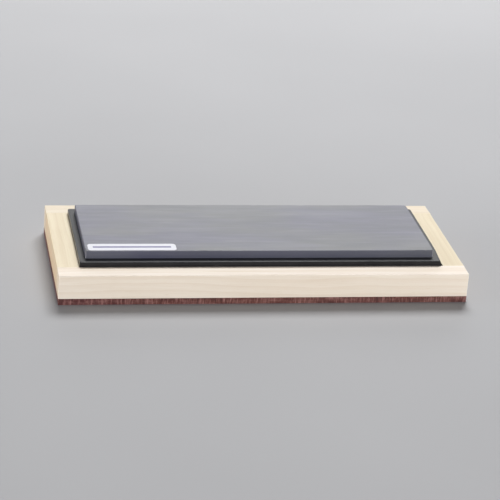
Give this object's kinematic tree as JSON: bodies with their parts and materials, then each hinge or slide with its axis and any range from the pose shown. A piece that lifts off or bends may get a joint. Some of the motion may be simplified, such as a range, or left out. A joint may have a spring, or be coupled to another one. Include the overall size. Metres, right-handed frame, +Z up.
{
  "type": "bench whetstone",
  "caption": "Flat rectangular sharpening stone seated in a black rubber cradle inside a shallow pale wooden tray, for honing small carving blades.",
  "frame": {"origin": "middle of the tray's underside", "axes": "+X along the stone's length, +Y towards the back rail, +Z up out of the stone's honing face"},
  "size_m": [0.178, 0.077, 0.0194],
  "materials": {
    "stone": "dense blue-grey stone, lapped to a satin face",
    "label_paper": "smooth white sticker with a plain printed band",
    "cradle_rubber": "black, satin, moulded",
    "side_rail_wood": "pale, fine-grained, sanded and unvarnished",
    "end_rail_wood": "pale cream, fine-grained, sanded and unvarnished",
    "plywood": "red-brown plywood with an open pore, unfinished"
  },
  "bodies": {
    "tray": {"front_rail": "side_rail_wood", "back_rail": "side_rail_wood", "left_end_rail": "end_rail_wood", "right_end_rail": "end_rail_wood", "bottom_panel": "plywood", "stone_cradle": "cradle_rubber"},
    "stone": {"whetstone": "stone", "label": "label_paper"}
  },
  "joints": [
    {"name": "whetstone_lift", "type": "slide", "parent": "tray", "child": "stone", "axis": [0, 0, 1], "range_m": [0, 0.02]}
  ]
}
